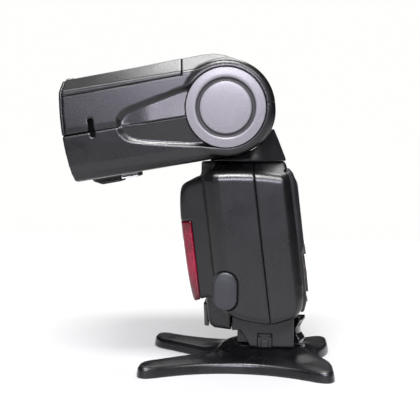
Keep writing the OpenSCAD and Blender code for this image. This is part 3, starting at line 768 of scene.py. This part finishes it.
# ---------------------------------------------------------------- rear panel
def display_material():
    """Unlit display: olive ground with a faint grid of blank cells."""
    mat, nt, b = principled("lcd_ground", (0.20, 0.23, 0.18), 0.35)
    coord = node(nt, "ShaderNodeTexCoord").outputs["Object"]
    cells = node(nt, "ShaderNodeTexBrick")
    cells.offset = 0.0
    for key, v in (("Scale", 150.0), ("Mortar Size", 0.05), ("Brick Width", 0.9), ("Row Height", 0.9),
                   ("Color1", (0.24, 0.27, 0.21, 1)), ("Color2", (0.22, 0.25, 0.195, 1)),
                   ("Mortar", (0.17, 0.195, 0.15, 1))):
        cells.inputs[key].default_value = v
    turn = node(nt, "ShaderNodeMapping")
    turn.inputs["Rotation"].default_value = (0, math.radians(90), 0)
    nt.links.new(coord, turn.inputs["Vector"])
    nt.links.new(turn.outputs["Vector"], cells.inputs["Vector"])
    patch = noise(nt, coord, 90.0, 3.0)
    shade = spread(nt, patch, 0.3, 0.7, 0, 0.35)
    nt.links.new(mixed(nt, shade, cells.outputs["Color"], (0.15, 0.17, 0.13)), b.inputs["Base Color"])
    nt.links.new(spread(nt, patch, 0.3, 0.7, 0.28, 0.42), b.inputs["Roughness"])
    return mat


def panel_housing():
    g = Grid((14.5, -30, 1.5), (21.5, 30, 71), 0.4)
    line = [(15, 2.6), (17.0, 3.2), (18.9, 8), (19.2, 30), (20.5, 33.5), (20.6, 45), (20.4, 62),
            (19.4, 67), (17.6, 69.6), (15, 70.3)]
    plan = poly(g.x, g.y, [(15, -29), (18.6, -28), (20.8, -25), (20.8, 25), (18.6, 28), (15, 29)], 0.6)
    base = round_both(poly(g.x, g.z, line, 0.3), plan, 1.2)
    floor = 17.4 - g.x
    pocket = both(rect(g.y, g.z, 0, DISPLAY_Z, 23.15, 14.4, 1.2), 15.8 - g.x)
    bevel = both(rect(g.y, g.z, 0, DISPLAY_Z, 24.4, 15.6, 2.0), 20.1 - g.x)
    keys = both(rect(np.abs(np.abs(g.y) - 11), g.z, 5.5, KEYS_Z, 4.0, 2.0, 0.9), 17.2 - g.x)
    well = both(disc(g.y, g.z, 0, DIAL_Z, 9.8), floor)
    lip = both(disc(g.y, g.z, 0, DIAL_Z, 11.2), 18.7 - g.x)
    upper = both(disc(np.abs(g.y), g.z, SMALL_KEY_Y, UPPER_KEY_Z, 3.12), floor)
    lower = both(disc(np.abs(g.y), g.z, SMALL_KEY_Y, LOWER_KEY_Z, 2.72), floor)
    track = both(rect(g.y, g.z, 0, 6.0, 14.2, 1.42, 0.4), floor)
    base = both(base, -pocket, -keys, -well, -upper, -lower, -track)
    base = round_both(round_both(base, -bevel, 0.2), -lip, 0.3)
    finish_piece(field_mesh("rear_panel", g, base, LEAN), "body", M_TRIM,
                 ("lcd_housing",))


def display_parts():
    g = Grid((19.2, -23.4, 35), (21.2, 23.4, 64.5), 0.25)
    pane = round_both(rect(g.y, g.z, 0, DISPLAY_Z, 22.95, 14.2, 1.1), slab(g.x, 19.7, 20.45), 0.2)
    finish_piece(field_mesh("display_glass", g, pane, LEAN), "body", M_WINDOW,
                 ("lcd_window",))

    g = Grid((15.5, -22.5, 36), (19.9, 22.5, 63.5), 0.4)
    unit = round_both(rect(g.y, g.z, 0, DISPLAY_Z, 21.9, 13.2, 0.6), slab(g.x, 15.9, 19.5), 0.25)
    step = both(-rect(g.y, g.z, 0, DISPLAY_Z, 20.2, 11.6, 0.5), 18.9 - g.x)
    finish_piece(field_mesh("display", g, both(unit, -step), LEAN), "body", display_material(),
                 ("lcd_module",))


def control_parts():
    """Four dished function keys, the knurled dial, the round keys and the power slider."""
    for i in range(4):
        y = -16.5 + 11 * i
        g = Grid((17.7, y - 4, 29), (21.6, y + 4, 33.2), 0.2)
        key = round_both(rect(g.y, g.z, y, KEYS_Z, 3.8, 1.68, 0.8), slab(g.x, 18.0, 21.15), 0.45)
        dish = np.sqrt((g.x - 27.6) ** 2 + (g.z - KEYS_Z) ** 2 + 0 * g.y) - 6.75
        n = str(i + 1)
        finish_piece(field_mesh("key_" + n, g, both(key, -dish), LEAN), "function_button_" + n, M_KEY,
                     ("function_button_" + n,))

    g = Grid((17.3, -10, 7.6), (20.8, 10, 27.4), 0.22)
    r, turn = disc(g.y, g.z, 0, DIAL_Z, 0), np.arctan2(g.z - DIAL_Z, g.y)
    knurl = r - 9.3 + 0.2 * np.cos(40 * turn)
    wheel = round_both(both(knurl, r - 9.48), slab(g.x, 17.62, 20.35), 0.45)
    wheel = both(wheel, 4.25 - r)
    track = np.sqrt((g.x - 20.9) ** 2 + (r - 6.8) ** 2) - 0.95
    finish_piece(field_mesh("dial", g, both(wheel, -track), LEAN), "select_dial", M_KEY,
                 ("select_dial",))

    dome = soften([(18.25, 0), (18.25, 4.1), (20.3, 4.1), (20.55, 2.2), (20.6, 0)], 0.35)
    finish_piece(lathe("set_key", dome, LEAN @ Matrix.Translation((0, 0, DIAL_Z)), 64), "set_button",
                 M_KEY, ("set_button",))
    for name, y, z, r, mat, slot in (
            ("mode", SMALL_KEY_Y, UPPER_KEY_Z, 3.0, M_KEY, "key_grey"),
            ("test", -SMALL_KEY_Y, UPPER_KEY_Z, 3.0, M_AMBER, "test_amber"),
            ("wireless", SMALL_KEY_Y, LOWER_KEY_Z, 2.6, M_KEY, "key_grey")):
        dome = soften([(18.2, 0), (18.2, r), (19.75, r), (20.02, r * 0.55), (20.1, 0)], 0.3)
        finish_piece(lathe(name + "_key", dome, LEAN @ Matrix.Translation((0, y, z)), 48),
                     name + "_button", mat, (name + "_button",))

    g = Grid((17.2, -14.2, 4.4), (19.8, -3.4, 7.6), 0.15)
    plate = brick(g, (17.5, -13.8, 4.85), (18.1, -3.8, 7.15), 0.1)
    grip = 0.5 - np.abs((g.y + 8.8) % 1.1 - 0.55) - 0.25 + np.maximum(19.1 - g.x, 0)
    knob = round_both(brick(g, (18.0, -11.6, 4.85), (19.35, -6, 7.15), 0.25), grip, 0.05)
    finish_piece(field_mesh("power_slider", g, either(plate, knob), LEAN), "power_switch", M_KEY,
                 ("power_switch",))


def screw_parts():
    """Cross-head case screws on the back."""
    places = [(y, z) for z in SCREW_Z for y in (-SCREW_Y, SCREW_Y)]
    for i, (y, z) in enumerate(places):
        g = Grid((12.2, y - 2, z - 2), (15.6, y + 2, z + 2), 0.12)
        head = round_both(disc(g.y, g.z, y, z, 1.5), slab(g.x, 12.5, 15.1), 0.25)
        u, v = np.abs(g.y - y), np.abs(g.z - z)
        cross = both(np.minimum(both(u - 0.2, v - 0.85), both(v - 0.2, u - 0.85)), 14.3 - g.x)
        obj = field_mesh("case_screw_%d" % (i + 1), g, both(head, -cross), LEAN)
        finish_piece(obj, "body", M_STEEL, ("body_screws",))


def dress_cad():
    """Materials and fine bevels for the CAD pieces that no piece above replaces."""
    looks = {"stand_bush": M_BRASS, "hotshoe_plate": M_STEEL, "hotshoe_screws": M_STEEL,
             "contact_pins": M_GOLD, "lock_pin": M_STEEL, "af_lamp_module": M_INNER,
             "terminal_sockets": M_INNER, "door_contacts": M_GOLD, "door_hinge_pin": M_STEEL,
             "battery_tray": M_INNER, "aa_cells": M_WRAP, "cell_springs": M_STEEL,
             "main_capacitor": M_SLEEVE, "main_board": M_BOARD, "swivel_ring": M_STEEL,
             "tilt_drum": M_TRIM, "tilt_axle": M_STEEL, "head_chassis": M_STEEL,
             "release_spring": M_STEEL, "guide_rods": M_STEEL, "zoom_motor": M_STEEL,
             "lead_screw": M_STEEL, "zoom_carriage": M_MIRROR, "flash_tube": M_GLASS}
    for name, obj in NODES.items():
        if obj.hide_render:
            continue
        obj.data.materials.clear()
        obj.data.materials.append(looks[name])
        edge = obj.modifiers.new("edge", "BEVEL")
        edge.width, edge.segments, edge.limit_method = 0.15 * MM, 2, "ANGLE"
        edge.angle_limit = math.radians(40)
        edge.harden_normals = True


# ---------------------------------------------------------------- foot, lever, stand
def foot_housing():
    """Foot with the pocket for the shoe plate, the lever's sweep and the bay it turns in."""
    g = Grid((-20, -18, 10.4), (13, 18, 30), 0.4)
    line = [(-9.4, 11), (11.9, 11), (11.9, 28.65), (7.4, 26.4), (-6.7, 26), (-14, 27.6), (-18.45, 29.0),
            (-18.45, 19), (-14.6, 19.25), (-13.4, 17.9)]
    foot = round_both(poly(g.x, g.z, line, 0.4), np.abs(g.y) - 17, 0.9)
    toe = both(slab(g.x, -16, -8), slab(g.z, 11.2, 18.5))
    foot = either(foot, round_both(toe, np.abs(g.y) - 8.5, 0.5))
    sweep = both(poly(g.x, g.y, [(0, 0), (24, -22.4), (24, 22.4)]), slab(g.z, 13, 15.4))
    round_pit = both(disc(g.x, g.y, 0, 0, 8.5), slab(g.z, 13, 15.4))
    bay = both(5 - g.x, np.abs(g.y) - 12.4, slab(g.z, 9, 24.9), 12.1 - disc(g.x, g.y, 0, 0, 0))
    pin_bore = both(disc(g.x, g.y, -6.8, 0, 1.7), g.z - 13.2)
    latches = both(slab(g.x, -5.75, 1.35), g.z - 17.65, 15.7 - np.abs(g.y))
    hollow = both(poly(g.x, g.z, [(-12, 20), (-7, 17), (6, 17), (6, 24), (-10, 24)]), np.abs(g.y) - 8)
    foot = both(foot, -sweep, -round_pit, -bay, -pin_bore, -latches, -hollow)
    finish_piece(field_mesh("foot", g, foot), "body", M_FOOT, ("foot_housing",))


def foot_latches():
    """A small latch plate on each side of the foot."""
    g = Grid((-6.2, 15.2, 10.6), (1.8, 18, 18), 0.2)
    plate = round_both(rect(g.x, g.z, -2.2, 14.2, 3.42, 3.3, 0.3), slab(g.y, 15.95, 17.0), 0.12)
    frame_line = np.abs(rect(g.x, g.z, -2.2, 12.4, 1.8, 2.0, 0.2)) - 0.16
    plate = both(plate, -both(frame_line, 16.7 - g.y))
    for x in (-4.9, 0.5):
        plate = both(plate, -both(disc(g.x, g.z, x, 16.3, 0.6), 16.1 - g.y))
    for side, name in ((1, "latch_right"), (-1, "latch_left")):
        obj = field_mesh(name, g, plate, Matrix.Diagonal((1, side, 1, 1)))
        if side < 0:
            obj.data.flip_normals()
        finish_piece(obj, "body", M_FOOT, ("foot_clip",))


def foot_lever():
    """Glossy lock lever, part of a turned profile about the shoe's axis."""
    g = Grid((5.5, -13.5, 10.8), (19, 2.5, 25.2), 0.3)
    r = disc(g.x, g.y, 0, 0, 0)
    line = [(12.6, 11.5), (17.6, 11.5), (17.9, 13.4), (15.9, 16.2), (15.6, 19.4), (18.0, 23.2),
            (17.7, 24.45), (12.9, 24.45), (13.3, 20), (13.3, 16.4), (12.7, 15.1), (7.9, 15.1),
            (7.9, 13.3), (12.6, 13.3)]
    arm = poly(r, g.z, line, 0.35)
    lo, hi = math.radians(-34), math.radians(2)
    span = both(g.x * math.sin(lo) - g.y * math.cos(lo), -g.x * math.sin(hi) + g.y * math.cos(hi))
    finish_piece(field_mesh("lever", g, round_both(arm, span, 0.4)), "lock_lever", M_GLOSS,
                 ("lock_lever",))


def stand_parts():
    """Four-legged foot stand: bitten plan, sloping flanks, a hollow underside and the shoe channel."""
    g = Grid((-64, -45, -0.9), (32.6, 45, 11.5), 0.5)
    plan = rect(g.x, g.y, STAND_X, 0, 46.9, 43.3, 7.5)
    for s in (-1, 1):
        plan = round_both(plan, 64 - disc(g.x, g.y, STAND_X, s * 92, 0), 5.0)
    left = soft_either(disc(g.x, g.y, -33.5, 0, 4.5),
                       poly(g.x, g.y, [(-33.5, -4.5), (-33.5, 4.5), (-80, 40), (-80, -40)]), 1.5)
    right = soft_either(disc(g.x, g.y, 25, 0, 6.5),
                        poly(g.x, g.y, [(25, -6.5), (45, -40), (45, 40), (25, 6.5)]), 1.5)
    plan = round_both(round_both(plan, -left, 5.0), -right, 5.0)
    flank = (plan + 0.14 * g.z) / 1.01
    mid = disc(g.x + 5.5 - np.clip(g.x + 5.5, 0, 6.5), g.y, 0, 0, 0)
    top = 5.2 + 0.5 * ease(-plan / 9.0) + 2.3 * ease((31.6 - mid) / 15.0) * ease(-plan / 7.0 + 0.25)
    top = top + 2.7 * ease((22.5 - mid) / 8.5)
    plate = round_both(round_both(flank, (g.z - top) * 0.9, 1.5), -g.z, 0.6)
    boss = disc(g.x, g.y, 0, 0, 7.2)
    plate = both(plate, -both(plan + 3.2, g.z - 3.4, -boss))
    plate = both(plate, -both(-9.4 - g.x, np.abs(g.y) - 9.4, 8.0 - g.z))
    for y_lo, y_hi in ((-10, -6.7), (6.7, 10)):
        plate = either(plate, brick(g, (-9.6, y_lo, 10.15), (12, y_hi, 10.7), 0.15))
    groove = brick(g, (-8.4, -5.2, 6.9), (33, 5.2, 9.0), 0.2)
    bush = both(disc(g.x, g.y, 0, 0, 5.05), g.z - 6.25)
    plate = both(plate, -groove, -bush)
    finish_piece(field_mesh("stand", g, plate), "stand", M_STAND, ("stand_base",))


head_shells()
head_front()
card_parts()
hub_parts()
neck_parts()
body_shells()
body_details()
foot_housing()
foot_latches()
foot_lever()
stand_parts()
panel_housing()
display_parts()
control_parts()
screw_parts()
button_parts()
dress_cad()


# ---------------------------------------------------------------- stage
def glow(name, colour, strength):
    mat, nt, b = principled(name, colour, 0.8, spec=0.1)
    b.inputs["Emission Color"].default_value = (1.0, 0.995, 0.985, 1)
    b.inputs["Emission Strength"].default_value = strength
    return mat, nt, b


def stage():
    """Pale floor and surround seen by the camera only, and a grey floor seen by everything else."""
    def plane(name, size, z):
        bpy.ops.mesh.primitive_plane_add(size=size, location=(0, 0, z))
        obj = bpy.context.object
        obj.name = name
        return obj

    floor = plane("floor", 1.1, 0)
    mat, nt, b = glow("floor_white", (0.38, 0.38, 0.38), 0.0)
    away = node(nt, "ShaderNodeVectorMath", operation="LENGTH")
    nt.links.new(node(nt, "ShaderNodeTexCoord").outputs["Object"], away.inputs[0])
    nt.links.new(spread(nt, away.outputs["Value"], 0.12, 0.5, 0.25, 1.0), b.inputs["Emission Strength"])
    floor.data.materials.append(mat)
    under = plane("floor_under", 1.6, -0.001)
    under.data.materials.append(principled("floor_grey", (0.5, 0.5, 0.5), 0.8, spec=0.1)[0])
    under.visible_camera = under.visible_transmission = False
    sweep = plane("sweep", 40.0, -0.002)
    bpy.ops.mesh.primitive_uv_sphere_add(segments=48, ring_count=24, radius=19.0)
    surround = bpy.context.object
    surround.name = "surround"
    for obj in (sweep, surround):
        obj.data.materials.append(glow(obj.name + "_white", (0.0, 0.0, 0.0), 1.0)[0])
    for obj in (floor, sweep, surround):
        obj.visible_diffuse = obj.visible_glossy = obj.visible_shadow = False


def lights():
    """A faint world and soft boxes around the flash, most of the light from high in front and behind."""
    bpy.context.scene.view_settings.view_transform = "Standard"
    world = bpy.data.worlds.new("studio")
    bpy.context.scene.world = world
    world.use_nodes = True
    bg = world.node_tree.nodes["Background"]
    bg.inputs["Color"].default_value = (0.96, 0.97, 1.0, 1)
    bg.inputs["Strength"].default_value = 0.02

    away, aim = 0.7, Vector((-0.04, 0, 0.1))

    def area(name, turn, rise, size_x, size_y, power, colour=(1, 1, 1)):
        """Soft box turned to the right of the camera's side and raised, both in degrees."""
        light = bpy.data.lights.new(name, "AREA")
        light.shape = "RECTANGLE"
        light.size, light.size_y, light.energy, light.color = size_x, size_y, power, colour
        obj = bpy.data.objects.new(name, light)
        a, e = math.radians(turn), math.radians(rise)
        out = Vector((math.sin(a) * math.cos(e), -math.cos(a) * math.cos(e), math.sin(e)))
        obj.location = aim + away * out
        obj.rotation_euler = (aim - obj.location).to_track_quat("-Z", "Y").to_euler()
        bpy.context.scene.collection.objects.link(obj)

    area("low_right", 42, 12, 0.12, 0.2, 0.1)
    area("low_front", 0, 10, 0.3, 0.18, 0.4, (0.96, 0.95, 1.15))
    area("key_front", 0, 21, 0.3, 0.16, 3.6, (1.0, 0.95, 1.12))
    area("key_right", 30, 42, 0.3, 0.18, 1.6)
    area("high_front", 0, 62, 0.3, 0.18, 6.4)
    area("high_left", -30, 62, 0.3, 0.18, 2.2)
    area("top_back", 180, 65, 0.4, 0.3, 3.9)
    area("back", 180, 35, 0.4, 0.3, 0.8)


def camera():
    """Long lens from the flash's left side, a little above it and turned slightly to its front."""
    aim, distance = Vector((-31, 3, 76.5)), 482.0
    yaw, pitch, roll = (math.radians(a) for a in (4.0, 4.6, 0.5))
    ahead = Vector((-math.sin(yaw) * math.cos(pitch), math.cos(yaw) * math.cos(pitch), -math.sin(pitch)))
    right = Vector((math.cos(yaw), math.sin(yaw), 0))
    up = right.cross(ahead)
    r = right * math.cos(roll) + up * math.sin(roll)
    u = -right * math.sin(roll) + up * math.cos(roll)
    data = bpy.data.cameras.new("camera")
    data.sensor_width = 36.0
    data.lens = 81.43
    data.clip_start, data.clip_end = 0.02, 20.0
    obj = bpy.data.objects.new("camera", data)
    place = (aim - ahead * distance) * MM
    obj.matrix_world = Matrix(((r.x, u.x, -ahead.x, place.x), (r.y, u.y, -ahead.y, place.y),
                               (r.z, u.z, -ahead.z, place.z), (0, 0, 0, 1)))
    bpy.context.scene.collection.objects.link(obj)
    bpy.context.scene.camera = obj


stage()
lights()
camera()
